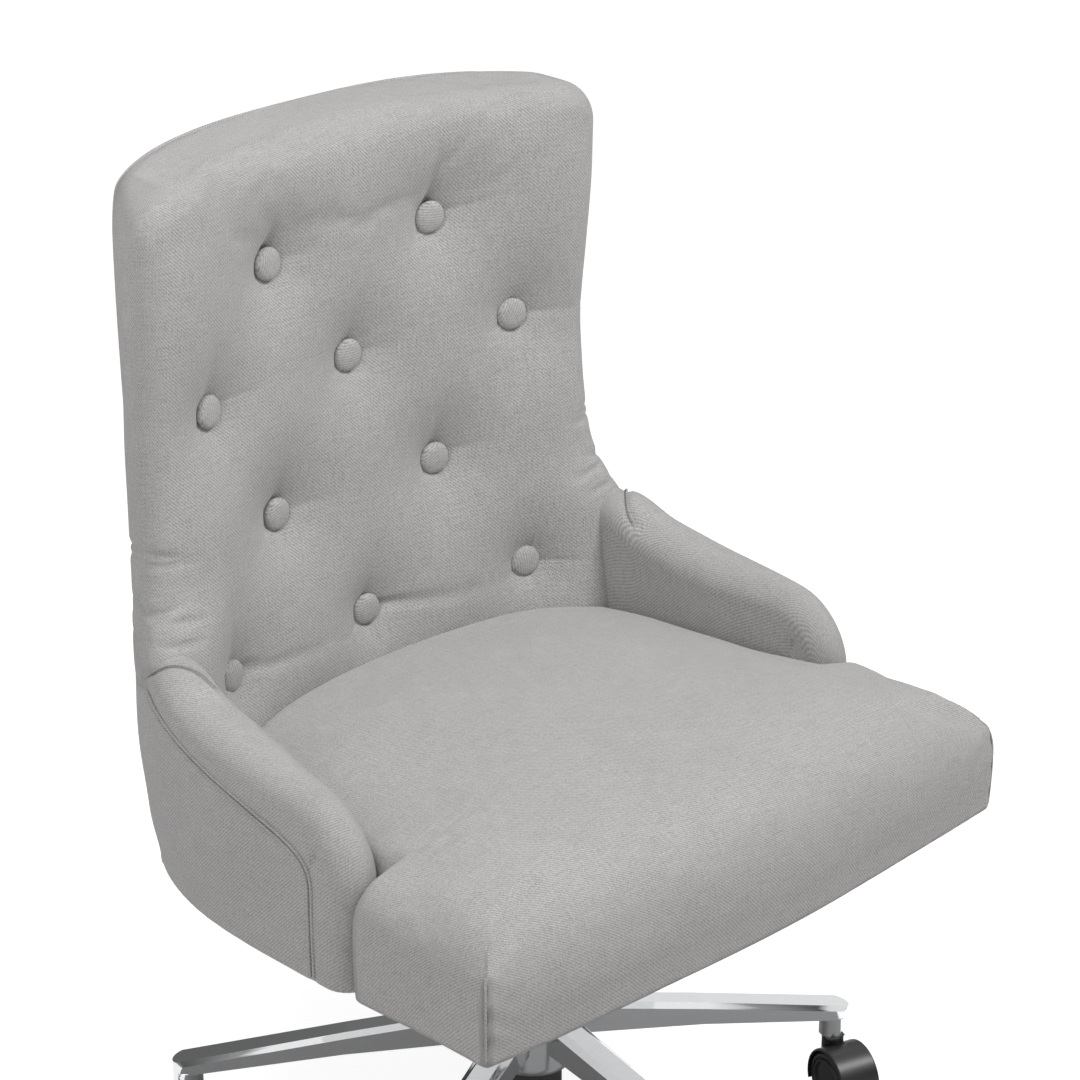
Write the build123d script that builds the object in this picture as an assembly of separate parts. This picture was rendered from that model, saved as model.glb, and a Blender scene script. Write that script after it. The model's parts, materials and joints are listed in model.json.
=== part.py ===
from build123d import *
import os
from math import atan2, cos, degrees, pi, radians, sin

# Swivel office chair. Millimetres, +Z up, front of the seat towards -Y.
# Origin: on the floor, on the swivel axis.

# Star base
ARM_COUNT = 5
FIRST_ARM_ANGLE = -90.0
STEM_CIRCLE_R = 300.0
ARM_END_R = 12.8
ARM_ROOT_R = 14.0
ARM_ROOT_TOP_Z = 176.0
ARM_TIP_TOP_Z = 92.0
HUB_R = 35.0
HUB_BOTTOM_Z = 118.0
BOSS_R = 14.0
BOSS_BOTTOM_Z = 65.0
SLEEVE_R = 7.2
SOCKET_TOP_Z = 86.0

# Casters
WHEEL_R = 28.0
WHEEL_INNER_Y = 5.2
WHEEL_OUTER_Y = 18.6
CASTER_TRAIL = 20.0
CASTER_TRAIL_ANGLE = -108.0
STEM_R = 5.5
AXLE_R = 3.0
HOOD_R = 31.0
HOOD_INNER_R = 28.8
HOOD_HALF_WIDTH = 19.0
HOOD_EDGE_Z = 19.0
RUNNING_GAP = 0.05

# Gas lift
COLUMN_R = 25.0
COLUMN_WALL = 2.0
COLUMN_BOTTOM_Z = 88.0
COLUMN_TOP_Z = 268.0
BUSH_BOTTOM_Z = 198.0
FLANGE_H = 3.0
ROD_R = 5.0
TUBE_R = 14.0
TUBE_BOTTOM_Z = 104.0
TUBE_TOP_Z = 308.0
TUBE_CAVITY_R = 12.4
TUBE_CAVITY_TOP_Z = 298.0
PISTON_TOP_Z = 294.0
PIN_R = 2.5
PIN_TOP_Z = 311.8

# Tilt mechanism
HOUSING_HALF_WIDTH = 36.0
HOUSING_WALL = 3.0
HOUSING_FRONT_Y = -114.0
HOUSING_REAR_Y = 42.0
HOUSING_FLOOR_Z = 290.0
SOCKET_R = 20.0
SOCKET_BOTTOM_Z = 276.0
PIVOT_Y = -40.0
PIVOT_Z = 310.0
SHAFT_R = 6.0
SHAFT_HALF_LENGTH = 43.0
LEVER_PIVOT_X = -28.0
LEVER_Z = 314.5
LEVER_ROD_R = 4.0
TENSION_Y = -92.0
TENSION_BOLT_R = 5.0
SPRING_BOTTOM_Z = 252.0
SPRING_R = 13.0
SPRING_WIRE_R = 2.2
CUP_H = 6.0
KNOB_H = 26.0
KNOB_R = 19.0

# Seat
SEAT_HALF_WIDTH = 292.8
SEAT_BOTTOM_Z = 337.6
SEAT_TOP_Z = 455.0
SEAT_FRONT_Y = -242.0
SEAT_BULGE = 16.0
WING_REAR_Y = -106.0
SEAT_NECK_HALF_WIDTH = 235.0
PLATE_T = 3.0
PLATE_HOLE_X = 76.0
PLATE_HOLE_Y = 127.0
PLATE_BOLT_R = 3.0
DUST_COVER_T = 0.8
BOARD_T = 12.0
BOARD_INSET = 7.0
FIT_GAP = 0.3

# Back and arms
BACK_CURVE_R = 649.0
PAD_T = 34.0
PAD_BULGE = 8.0
FRAME_T = 12.0
BACK_LEVELS = [(345.0, 186.0), (475.0, 196.6), (585.0, 211.0), (930.0, 212.8)]
SHELL_FRONT_Y = -130.0
SHELL_CENTRE_Y = -10.0
SHELL_DEPTH = 285.0
ARM_FRONT_Y = -98.0
ARM_INNER_X = 237.0
ARM_CREST_Z = 487.0
ARM_SHOULDER = (70.0, 504.0)
ARM_REAR_TOP = (200.0, 540.0)
ARM_PANEL_X = 258.0
ARM_PANEL_T = 15.0
BACK_BOLT_X = 100.0
BACK_BOLT_HEAD_Y = 225.5
FRAME_HALF_WIDTH = 205.0
BUTTON_R = 14.5
BUTTON_T = 9.0
BUTTON_PITCH_Z = 110.0
BUTTON_LOW_Z = 474.0
BUTTON_INNER_X = 90.0
BUTTON_OUTER_X = 170.0

BOARD_BOTTOM_Z = SEAT_BOTTOM_Z + DUST_COVER_T
BOARD_TOP_Z = BOARD_BOTTOM_Z + BOARD_T
PLATE_BOTTOM_Z = SEAT_BOTTOM_Z - PLATE_T
FRAME_BOLT_Z = BOARD_BOTTOM_Z + BOARD_T / 2
FRAME_BOLT_R = 3.0


def rod_z(radius, z_low, z_high, x=0.0, y=0.0):
    """Upright round bar between two heights."""
    return Pos(x, y, (z_low + z_high) / 2) * Cylinder(radius, z_high - z_low)


def rod_x(radius, x_low, x_high, y, z):
    """Round bar along X."""
    return Pos((x_low + x_high) / 2, y, z) * Rot(0, 90, 0) * Cylinder(radius, x_high - x_low)


def rod_y(radius, y_low, y_high, x, z):
    """Round bar along Y."""
    return Pos(x, (y_low + y_high) / 2, z) * Rot(90, 0, 0) * Cylinder(radius, y_high - y_low)


def block(x_low, x_high, y_low, y_high, z_low, z_high):
    """Box given by its two corners."""
    centre = Pos((x_low + x_high) / 2, (y_low + y_high) / 2, (z_low + z_high) / 2)
    return centre * Box(x_high - x_low, y_high - y_low, z_high - z_low)


def solids_of(*shapes):
    """One group made of every solid in the shapes."""
    found = []
    for shape in shapes:
        found.extend(shape.solids())
    return Compound(found)


def save(name, shape):
    export_step(shape, f"parts/{name}.step")


# ---------------------------------------------------------------- star base

def arm_angles():
    return [FIRST_ARM_ANGLE + k * 360.0 / ARM_COUNT for k in range(ARM_COUNT)]


def arm_section(radius, top_z, flat, side, drop, foot, depth):
    """Cross-section of an arm: flat crest, bevels, then sides that lean in."""
    crest = [(-flat, 0), (-side, -drop), (-foot, -depth)]
    points = crest + [(-x, z) for x, z in reversed(crest)]
    plane = Plane(origin=(radius, 0, top_z), x_dir=(0, 1, 0), z_dir=(1, 0, 0))
    return plane * make_face(Polyline(*points, close=True))


def star_arm():
    """One drooping arm along +X with a round end and a caster boss under it."""
    tip_r = STEM_CIRCLE_R + ARM_END_R
    sections = [
        arm_section(ARM_ROOT_R, ARM_ROOT_TOP_Z, 8.5, 15.5, 3.5, 13.5, 30.0),
        arm_section(160.0, 136.5, 9.6, 14.4, 4.2, 12.8, 20.0),
        arm_section(tip_r + 2, ARM_TIP_TOP_Z, 11.0, 13.0, 4.8, 12.3, 13.4),
    ]
    bar = loft(sections, ruled=True)
    plan = Rectangle(tip_r - ARM_END_R, 40.0, align=(Align.MIN, Align.CENTER))
    plan += Pos(tip_r - ARM_END_R, 0) * Circle(ARM_END_R + 0.4)
    bar &= extrude(plan, 200)
    boss = rod_z(BOSS_R - 1.0, BOSS_BOTTOM_Z, ARM_TIP_TOP_Z - 8, x=STEM_CIRCLE_R)
    boss = chamfer(boss.edges().group_by(Axis.Z)[0], 0.8)
    return bar + boss


def star_base():
    hub = rod_z(HUB_R, HUB_BOTTOM_Z, ARM_ROOT_TOP_Z)
    hub = fillet(hub.edges().group_by(Axis.Z)[-1], 5.0)
    hub = fillet(hub.edges().group_by(Axis.Z)[0], 10.0)
    star = hub
    arm = star_arm()
    for angle in arm_angles():
        star += Rot(0, 0, angle) * arm
    star -= rod_z(COLUMN_R, HUB_BOTTOM_Z - 5, ARM_ROOT_TOP_Z + 5)
    for angle in arm_angles():
        star -= Rot(0, 0, angle) * rod_z(SLEEVE_R, BOSS_BOTTOM_Z - 1, SOCKET_TOP_Z, x=STEM_CIRCLE_R)
    return star


def stem_sleeves():
    """Grip sleeves pressed into the caster bosses."""
    sleeve = rod_z(SLEEVE_R, BOSS_BOTTOM_Z, SOCKET_TOP_Z, x=STEM_CIRCLE_R)
    sleeve -= rod_z(STEM_R + RUNNING_GAP, BOSS_BOTTOM_Z - 1, SOCKET_TOP_Z + 1, x=STEM_CIRCLE_R)
    return solids_of(*[Rot(0, 0, angle) * sleeve for angle in arm_angles()])


# ---------------------------------------------------------------- casters

def caster_stem():
    """Stem with its collar; the local frame has the stem on Z and the wheels towards +X."""
    stem = rod_z(STEM_R, 48.0, SOCKET_TOP_Z - 1.0)
    stem = chamfer(stem.edges().group_by(Axis.Z)[-1], 1.0)
    groove = rod_z(STEM_R + 1, 80.0, 82.0) - rod_z(STEM_R - 0.8, 80.0, 82.0)
    return stem + rod_z(8.5, 61.0, BOSS_BOTTOM_Z - 0.4) - groove


def caster_hood():
    """Arched hood over both wheels, a web between them and the neck that holds the stem."""
    arch = rod_y(HOOD_R, -HOOD_HALF_WIDTH, HOOD_HALF_WIDTH, CASTER_TRAIL, WHEEL_R)
    arch = fillet(arch.edges().filter_by(GeomType.CIRCLE), 1.6)
    arch -= rod_y(HOOD_INNER_R, -40, 40, CASTER_TRAIL, WHEEL_R)
    arch -= block(-60, 80, -40, 40, -20, HOOD_EDGE_Z)
    web = rod_y(HOOD_INNER_R + 1, -4.5, 4.5, CASTER_TRAIL, WHEEL_R)
    web -= block(-60, 80, -40, 40, -20, 12.0)
    neck = rod_z(9.8, 42.0, 61.0)
    neck -= rod_y(HOOD_INNER_R, 4.5, 40, CASTER_TRAIL, WHEEL_R)
    neck -= rod_y(HOOD_INNER_R, -40, -4.5, CASTER_TRAIL, WHEEL_R)
    hood = arch + web + neck
    hood -= rod_z(STEM_R, 48.0, 70.0)
    return hood - rod_y(AXLE_R, -10, 10, CASTER_TRAIL, WHEEL_R)


def caster_axle():
    return rod_y(AXLE_R, -15.5, 15.5, CASTER_TRAIL, WHEEL_R)


def caster_wheel(side):
    """Moulded wheel with a crowned tread and a ringed outer face; side is -1 or 1."""
    y0 = WHEEL_INNER_Y
    y1 = WHEEL_OUTER_Y
    r = WHEEL_R
    outline = [
        (0, y0), (r - 2.5, y0), (r, y0 + 2.5), (r, y1 - 3.5), (r - 2.2, y1 - 1.0),
        (r - 4.4, y1 - 0.4), (r - 5.2, y1 - 1.8), (r - 6.4, y1 - 1.8), (r - 7.2, y1),
        (r - 9.0, y1), (r - 9.8, y1 - 1.6), (r - 17.0, y1 - 1.1), (0, y1 - 0.7),
    ]
    profile = make_face(Polyline(*outline, close=True))
    wheel = revolve(Plane.XY * profile, Axis.Y)
    wheel -= rod_y(AXLE_R + RUNNING_GAP, y0 - 1, 15.8, 0, 0)
    if side < 0:
        wheel = mirror(wheel, Plane.XZ)
    return Pos(CASTER_TRAIL, 0, WHEEL_R) * wheel


def save_casters():
    for number, angle in enumerate(arm_angles(), start=1):
        place = Rot(0, 0, angle) * Pos(STEM_CIRCLE_R, 0, 0) * Rot(0, 0, CASTER_TRAIL_ANGLE - angle)
        save(f"caster_{number}_stem", place * caster_stem())
        save(f"caster_{number}_hood", place * caster_hood())
        save(f"caster_{number}_axle", place * caster_axle())
        save(f"caster_{number}_wheel_left", place * caster_wheel(1))
        save(f"caster_{number}_wheel_right", place * caster_wheel(-1))


# ---------------------------------------------------------------- gas lift

def lift_column():
    """Stand tube pressed into the hub, closed by a plate that carries the piston rod."""
    inner_r = COLUMN_R - COLUMN_WALL
    tube = rod_z(COLUMN_R, COLUMN_BOTTOM_Z, COLUMN_TOP_Z)
    tube -= rod_z(inner_r, COLUMN_BOTTOM_Z + FLANGE_H, COLUMN_TOP_Z + 1)
    return tube - rod_z(ROD_R + RUNNING_GAP, COLUMN_BOTTOM_Z - 1, COLUMN_BOTTOM_Z + 5)


def column_bush():
    """Nylon guide in the mouth of the stand tube."""
    bush = rod_z(COLUMN_R - COLUMN_WALL, BUSH_BOTTOM_Z, COLUMN_TOP_Z)
    bush += rod_z(COLUMN_R, COLUMN_TOP_Z, COLUMN_TOP_Z + FLANGE_H)
    bush = chamfer(bush.edges().group_by(Axis.Z)[-1], 0.8)
    return bush - rod_z(TUBE_R + RUNNING_GAP, BUSH_BOTTOM_Z - 1, COLUMN_TOP_Z + 9)


def thrust_bearing():
    """Two washers and a caged ball ring on the bottom plate of the stand tube."""
    low = COLUMN_BOTTOM_Z + FLANGE_H
    ring = rod_z(11.0, low, low + 1.2)
    ring += rod_z(9.6, low + 1.2, low + 3.6)
    ring += rod_z(11.0, low + 3.6, low + 4.8)
    return ring - rod_z(ROD_R + RUNNING_GAP, low - 1, low + 9)


def piston_rod():
    """Rod that stands on the thrust bearing and carries the piston inside the pressure tube."""
    shoulder_z = COLUMN_BOTTOM_Z + FLANGE_H + 4.9
    rod = rod_z(ROD_R, COLUMN_BOTTOM_Z - 6, PISTON_TOP_Z - 5)
    rod += rod_z(8.0, shoulder_z, shoulder_z + 3.0)
    rod += rod_z(TUBE_CAVITY_R - RUNNING_GAP, PISTON_TOP_Z - 10, PISTON_TOP_Z)
    groove = rod_z(ROD_R + 1, COLUMN_BOTTOM_Z - 3, COLUMN_BOTTOM_Z - 1.5)
    groove -= rod_z(ROD_R - 1, COLUMN_BOTTOM_Z - 3, COLUMN_BOTTOM_Z - 1.5)
    return rod - groove


def rod_clip():
    """Open spring clip in the rod's groove, under the stand tube."""
    low = COLUMN_BOTTOM_Z - 3
    high = COLUMN_BOTTOM_Z - 1.5
    clip = rod_z(9.0, low, high) - rod_z(ROD_R - 1, low, high)
    return clip - block(0, 20, -2.5, 2.5, low, high)


def pressure_tube():
    """Gas cylinder that rises with the seat; the rod enters from below, the valve pin from above."""
    tube = rod_z(TUBE_R, TUBE_BOTTOM_Z, TUBE_TOP_Z)
    tube = chamfer(tube.edges().group_by(Axis.Z)[-1], 1.0)
    tube -= rod_z(TUBE_CAVITY_R, TUBE_BOTTOM_Z + 8, TUBE_CAVITY_TOP_Z)
    tube -= rod_z(ROD_R + RUNNING_GAP, TUBE_BOTTOM_Z - 1, TUBE_BOTTOM_Z + 9)
    return tube - rod_z(PIN_R + RUNNING_GAP, TUBE_CAVITY_TOP_Z - 1, TUBE_TOP_Z + 1)


def release_pin():
    """Valve pin with a domed head."""
    pin = rod_z(PIN_R, TUBE_CAVITY_TOP_Z + 1, PIN_TOP_Z - PIN_R)
    return pin + Pos(0, 0, PIN_TOP_Z - PIN_R) * Sphere(PIN_R)


# ---------------------------------------------------------------- tilt mechanism

def housing_side_outline():
    """Side view of the housing: level in front, falling away behind the pivot."""
    front = HOUSING_FRONT_Y
    rear = HOUSING_REAR_Y
    return [
        (front, HOUSING_FLOOR_Z), (rear, HOUSING_FLOOR_Z), (rear, 311.0),
        (-14.0, 321.0), (PIVOT_Y - 18, 323.0), (front, 308.0),
    ]


def mechanism_housing():
    """Pressed tray with the socket for the gas tube, lever lugs and a slot for the tension bolt."""
    side = Plane.YZ * make_face(Polyline(*housing_side_outline(), close=True))
    tray = extrude(side, HOUSING_HALF_WIDTH, both=True)
    tray = fillet(tray.edges().filter_by(Axis.Z), 8.0)
    inner_x = HOUSING_HALF_WIDTH - HOUSING_WALL
    hollow = block(-inner_x, inner_x, HOUSING_FRONT_Y + HOUSING_WALL, HOUSING_REAR_Y - HOUSING_WALL,
                   HOUSING_FLOOR_Z + HOUSING_WALL, 340.0)
    tray -= fillet(hollow.edges().filter_by(Axis.Z), 5.0)
    socket = rod_z(SOCKET_R, SOCKET_BOTTOM_Z, TUBE_TOP_Z - 3)
    tray += chamfer(socket.edges().group_by(Axis.Z)[0], 1.5)
    for side_y in (-8.5, 8.5):
        ear_x = (LEVER_PIVOT_X - 5, LEVER_PIVOT_X + 5)
        tray += block(*ear_x, side_y - 2, side_y + 2, HOUSING_FLOOR_Z + 1, LEVER_Z + 4)
    tray -= rod_z(TUBE_R, SOCKET_BOTTOM_Z - 1, TUBE_TOP_Z + 1)
    tray -= rod_x(SHAFT_R, -60, 60, PIVOT_Y, PIVOT_Z)
    tray -= rod_y(2.0, -30, 30, LEVER_PIVOT_X, LEVER_Z)
    tray -= block(-HOUSING_HALF_WIDTH - 1, -inner_x + 0.5, -6.2, 6.2, LEVER_Z - 6.5, 340.0)
    slot = SlotOverall(24.0, 14.0, rotation=90)
    return tray - Pos(0, TENSION_Y, HOUSING_FLOOR_Z - 1) * extrude(slot, 6.0)


def pivot_shaft():
    shaft = rod_x(SHAFT_R, -SHAFT_HALF_LENGTH, SHAFT_HALF_LENGTH, PIVOT_Y, PIVOT_Z)
    for low in (-41.4, 40.2):
        ring = rod_x(SHAFT_R + 1, low, low + 1.2, PIVOT_Y, PIVOT_Z)
        shaft -= ring - rod_x(SHAFT_R - 1, low, low + 1.2, PIVOT_Y, PIVOT_Z)
    return shaft


def shaft_clips():
    """E-clips that keep the seat plate's ears on the pivot shaft."""
    clips = []
    for low in (-41.4, 40.2):
        clip = rod_x(SHAFT_R + 3, low, low + 1.2, PIVOT_Y, PIVOT_Z)
        clip -= rod_x(SHAFT_R - 1, low, low + 1.2, PIVOT_Y, PIVOT_Z)
        clip -= block(low, low + 1.2, PIVOT_Y - 3, PIVOT_Y + 3, PIVOT_Z - 20, PIVOT_Z)
        clips.append(clip)
    return solids_of(*clips)


def lever_pin():
    return rod_y(2.0, -10.5, 10.5, LEVER_PIVOT_X, LEVER_Z)


def lever_rod():
    """Bent rod: a flat finger over the valve pin, the pivot eye, then out and down to the paddle."""
    points = [(6, 0, LEVER_Z), (-52, 0, LEVER_Z), (-112, 0, 300.5), (-172, 0, 300.5)]
    path = FilletPolyline(*points, radius=24.0)
    start = Plane(origin=points[0], x_dir=(0, 1, 0), z_dir=(-1, 0, 0))
    rod = sweep(start * Circle(LEVER_ROD_R), path=path)
    rod -= block(-14, 10, -9, 9, LEVER_Z - 9, LEVER_Z - 2.3)
    return rod - rod_y(2.0 + RUNNING_GAP, -9, 9, LEVER_PIVOT_X, LEVER_Z)


def lever_paddle():
    """Moulded grip pushed over the rod's outer end."""
    plan = RectangleRounded(74.0, 30.0, 12.0)
    grip = Pos(-169, 0, 295.0) * extrude(plan, 11.0)
    grip = fillet(grip.edges().group_by(Axis.Z)[-1], 3.5)
    grip = fillet(grip.edges().group_by(Axis.Z)[0], 3.5)
    return grip - rod_x(LEVER_ROD_R, -172, -120, 0, 300.5)


def tension_bolt():
    """Bolt that hangs from the seat plate, through the housing floor and the spring."""
    head = Pos(0, TENSION_Y, PLATE_BOTTOM_Z - 6) * extrude(RegularPolygon(9.0, 6), 6.0)
    return head + rod_z(TENSION_BOLT_R, SPRING_BOTTOM_Z - 22, PLATE_BOTTOM_Z - 6, y=TENSION_Y)


def tension_spring():
    """Compression spring between the housing floor and its cup."""
    low = SPRING_BOTTOM_Z + SPRING_WIRE_R
    height = HOUSING_FLOOR_Z - SPRING_WIRE_R - low
    coil = Helix(pitch=height / 4.0, height=height, radius=SPRING_R)
    start = Plane(origin=coil @ 0, z_dir=coil % 0)
    return Pos(0, TENSION_Y, low) * sweep(start * Circle(SPRING_WIRE_R - 0.1), path=coil, is_frenet=True)


def spring_cup():
    cup = rod_z(17.0, SPRING_BOTTOM_Z - CUP_H, SPRING_BOTTOM_Z + 3, y=TENSION_Y)
    cup -= rod_z(15.6, SPRING_BOTTOM_Z, SPRING_BOTTOM_Z + 5, y=TENSION_Y)
    return cup - rod_z(TENSION_BOLT_R + RUNNING_GAP, 200, 300, y=TENSION_Y)


def tension_knob():
    """Fluted hand knob with a threaded eye."""
    high = SPRING_BOTTOM_Z - CUP_H - 0.1
    knob = rod_z(KNOB_R, high - KNOB_H, high, y=TENSION_Y)
    knob = fillet(knob.edges().group_by(Axis.Z)[0], 4.0)
    flute_count = 9
    for k in range(flute_count):
        angle = radians(k * 360.0 / flute_count)
        x = (KNOB_R + 2.5) * cos(angle)
        y = TENSION_Y + (KNOB_R + 2.5) * sin(angle)
        knob -= rod_z(5.0, high - KNOB_H - 1, high - 5, x=x, y=y)
    return knob - rod_z(TENSION_BOLT_R + RUNNING_GAP, high - KNOB_H + 3, high + 1, y=TENSION_Y)


def plate_hole_places():
    return [(x, y) for x in (-PLATE_HOLE_X, PLATE_HOLE_X) for y in (-PLATE_HOLE_Y, PLATE_HOLE_Y)]


def seat_plate():
    """Steel plate under the seat, with two ears that hang on the pivot shaft."""
    plan = RectangleRounded(188.0, 290.0, 18.0)
    plate = Pos(0, 0, PLATE_BOTTOM_Z) * extrude(plan, PLATE_T)
    for side in (-1, 1):
        x_low = HOUSING_HALF_WIDTH + 0.5 if side > 0 else -HOUSING_HALF_WIDTH - 3.5
        ear = block(x_low, x_low + 3.0, PIVOT_Y - 14, PIVOT_Y + 14, PIVOT_Z, PLATE_BOTTOM_Z + 1)
        ear += rod_x(14.0, x_low, x_low + 3.0, PIVOT_Y, PIVOT_Z)
        plate += ear
        lip_x = side * 94
        plate += block(lip_x - 1.5, lip_x + 1.5, -120, 120, PLATE_BOTTOM_Z - 7, PLATE_BOTTOM_Z + 1.5)
    plate -= rod_x(SHAFT_R + RUNNING_GAP, -60, 60, PIVOT_Y, PIVOT_Z)
    for x, y in plate_hole_places():
        plate -= rod_z(PLATE_BOLT_R + 0.5, 320, 350, x=x, y=y)
    return plate


def plate_bolts():
    bolts = []
    for x, y in plate_hole_places():
        head = Pos(x, y, PLATE_BOTTOM_Z - 4) * extrude(RegularPolygon(5.5, 6), 4.0)
        bolts.append(head + rod_z(PLATE_BOLT_R, PLATE_BOTTOM_Z - 1, BOARD_TOP_Z - 0.5, x=x, y=y))
    return solids_of(*bolts)


def t_nuts():
    """Barrelled nuts sunk in the seat board from above."""
    nuts = []
    for x, y in plate_hole_places():
        nut = rod_z(4.2, BOARD_BOTTOM_Z + 2, BOARD_TOP_Z - 1.4, x=x, y=y)
        nut += rod_z(9.0, BOARD_TOP_Z - 1.4, BOARD_TOP_Z, x=x, y=y)
        nuts.append(nut - rod_z(PLATE_BOLT_R, 320, 370, x=x, y=y))
    return solids_of(*nuts)


# ---------------------------------------------------------------- seat

def back_front_y(z):
    """Depth of the middle of the back's front face at a height."""
    for (z0, y0), (z1, y1) in zip(BACK_LEVELS, BACK_LEVELS[1:]):
        if z <= z1:
            return y0 + (y1 - y0) * (z - z0) / (z1 - z0)
    return BACK_LEVELS[-1][1]


def arc_across(y_middle, half_width, radius=BACK_CURVE_R):
    """Arc concave to the front, with its middle at y_middle."""
    sag = radius - (radius**2 - half_width**2) ** 0.5
    return ThreePointArc((-half_width, y_middle - sag), (0, y_middle), (half_width, y_middle - sag))


def t_plan(inset, rear_y):
    """Plan of the T-shaped seat: bowed front edge, wings, narrow rear with a hollow rear edge."""
    wing_x = SEAT_HALF_WIDTH - inset
    neck_x = SEAT_NECK_HALF_WIDTH - inset
    front_y = SEAT_FRONT_Y + inset
    wing_y = WING_REAR_Y - inset
    rear = arc_across(rear_y, neck_x)
    rear_left = rear @ 0
    rear_right = rear @ 1
    front = ThreePointArc((-wing_x, front_y), (0, front_y - SEAT_BULGE), (wing_x, front_y))
    right = Polyline((wing_x, front_y), (wing_x, wing_y), (neck_x, wing_y), rear_right)
    left = Polyline((-wing_x, front_y), (-wing_x, wing_y), (-neck_x, wing_y), rear_left)
    return make_face([front, right, rear, left])


def seat_board():
    rear_y = back_front_y(BOARD_BOTTOM_Z) + PAD_T - FIT_GAP
    board = Pos(0, 0, BOARD_BOTTOM_Z) * extrude(t_plan(BOARD_INSET, rear_y), BOARD_T)
    for x, y in plate_hole_places():
        board -= rod_z(4.2, 330, 360, x=x, y=y)
        board -= rod_z(9.0, BOARD_TOP_Z - 1.4, 360, x=x, y=y)
    return board - frame_bolt_list()


def dust_cover():
    sheet = Pos(0, 0, SEAT_BOTTOM_Z) * extrude(t_plan(BOARD_INSET, back_front_y(345.0) - 2), DUST_COVER_T)
    for x, y in plate_hole_places():
        sheet -= rod_z(PLATE_BOLT_R + 0.5, 330, 345, x=x, y=y)
    return sheet


def seat_cushion():
    """Padded and covered seat, hollow below for the board."""
    rear_y = back_front_y(BOARD_BOTTOM_Z) - PAD_BULGE - 2.0
    cushion = Pos(0, 0, BOARD_BOTTOM_Z) * extrude(t_plan(0.0, rear_y), SEAT_TOP_Z - BOARD_BOTTOM_Z)
    cushion = fillet(cushion.edges().group_by(Axis.Z)[-1], 30.0)
    recess = Pos(0, 0, BOARD_BOTTOM_Z) * extrude(t_plan(BOARD_INSET, rear_y + 60), BOARD_T)
    return cushion - recess - frame_bolt_list()


# ---------------------------------------------------------------- back and arms

def super_ellipse(width, power, count=16):
    """Points of the shell's plan from the right side round the rear to the left side."""
    points = []
    for k in range(count + 1):
        angle = pi * k / count
        c = cos(angle)
        s = sin(angle)
        x = width * abs(c) ** (2 / power) * (1 if c >= 0 else -1)
        points.append((x, SHELL_CENTRE_Y + SHELL_DEPTH * abs(s) ** (2 / power)))
    return points


def shell_section(z, width, power):
    rear = Spline(*super_ellipse(width, power), tangents=[(0, 1), (0, -1)])
    start = rear @ 0
    end = rear @ 1
    sides = Polyline(end, (-width, SHELL_FRONT_Y), (width, SHELL_FRONT_Y), start)
    return Pos(0, 0, z) * make_face([rear, sides])


def shell_body():
    """Barrel that bounds the arms and the back from outside."""
    foot = shell_section(SEAT_BOTTOM_Z, SEAT_HALF_WIDTH, 2.5)
    lower = loft([foot, shell_section(520.0, SEAT_HALF_WIDTH, 2.9)])
    upper = extrude(shell_section(520.0, SEAT_HALF_WIDTH, 2.9), 420.0)
    return lower + upper


def curved_layer(front_offset, rear_offset, half_width, z_low, z_high):
    """Layer of the back between two curved faces that follow the back's profile."""
    levels = [z_low] + [z for z, _ in BACK_LEVELS[1:-1] if z_low < z < z_high] + [z_high]
    faces = []
    for z in levels:
        y = back_front_y(z)
        front = arc_across(y + front_offset, half_width)
        rear = arc_across(y + rear_offset, half_width)
        left = Line(front @ 0, rear @ 0)
        right = Line(front @ 1, rear @ 1)
        faces.append(Pos(0, 0, z) * make_face([front, right, rear, left]))
    return loft(faces, ruled=True)


def back_outline(inset=0.0, bottom_z=SEAT_BOTTOM_Z + 0.8):
    """Front view of the back: flared foot, upright sides, round shoulders and a crowned top."""
    foot = SEAT_HALF_WIDTH + 5 - inset
    waist = 247.0 - inset
    chest = 250.0 - inset
    shoulder_x = 198.0 - inset
    shoulder_z = 886.0 - inset
    top_z = 908.0 - inset
    curves = [Polyline((-foot, 505), (-foot, bottom_z), (foot, bottom_z), (foot, 505))]
    for side in (-1, 1):
        flare = Spline((side * foot, 505), (side * waist, 610), tangents=[(0, 1), (0, 1)])
        edge = Line((side * waist, 610), (side * chest, 838 - inset))
        shoulder = Spline((side * chest, 838 - inset), (side * shoulder_x, shoulder_z),
                          tangents=[(0, 1), (-side, 0.1)])
        curves += [flare, edge, shoulder]
    curves.append(ThreePointArc((-shoulder_x, shoulder_z), (0, top_z), (shoulder_x, shoulder_z)))
    face = Plane(origin=(0, 0, 0), x_dir=(1, 0, 0), z_dir=(0, -1, 0)) * make_face(curves)
    return extrude(face, 500, both=True)


def arm_side_outline():
    """Side view of an arm: upright nose, rounded front and a crest that climbs to the back."""
    low = SEAT_BOTTOM_Z
    nose = Line((ARM_FRONT_Y, low), (ARM_FRONT_Y, 438))
    knee = (-35, ARM_CREST_Z)
    round_over = Spline((ARM_FRONT_Y, 438), (-78, 476), knee, tangents=[(0, 1), (1, 0.13)])
    crest = Spline(knee, ARM_SHOULDER, ARM_REAR_TOP, tangents=[(1, 0.13), (1, 0.3)])
    foot = Polyline(ARM_REAR_TOP, (ARM_REAR_TOP[0], low), (ARM_FRONT_Y, low))
    return make_face([nose, round_over, crest, foot])


def arm_blank():
    """Right-hand arm before it is fitted to the shell and the back."""
    width = SEAT_HALF_WIDTH + 4 - ARM_INNER_X
    blank = Pos(ARM_INNER_X, 0, 0) * extrude(Plane.YZ * arm_side_outline(), width)
    inner_face = blank.faces().sort_by(Axis.X)[0]
    crest = inner_face.edges().filter_by(lambda edge: edge.center().Z > 450)
    return fillet(crest, 16.0)


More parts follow.
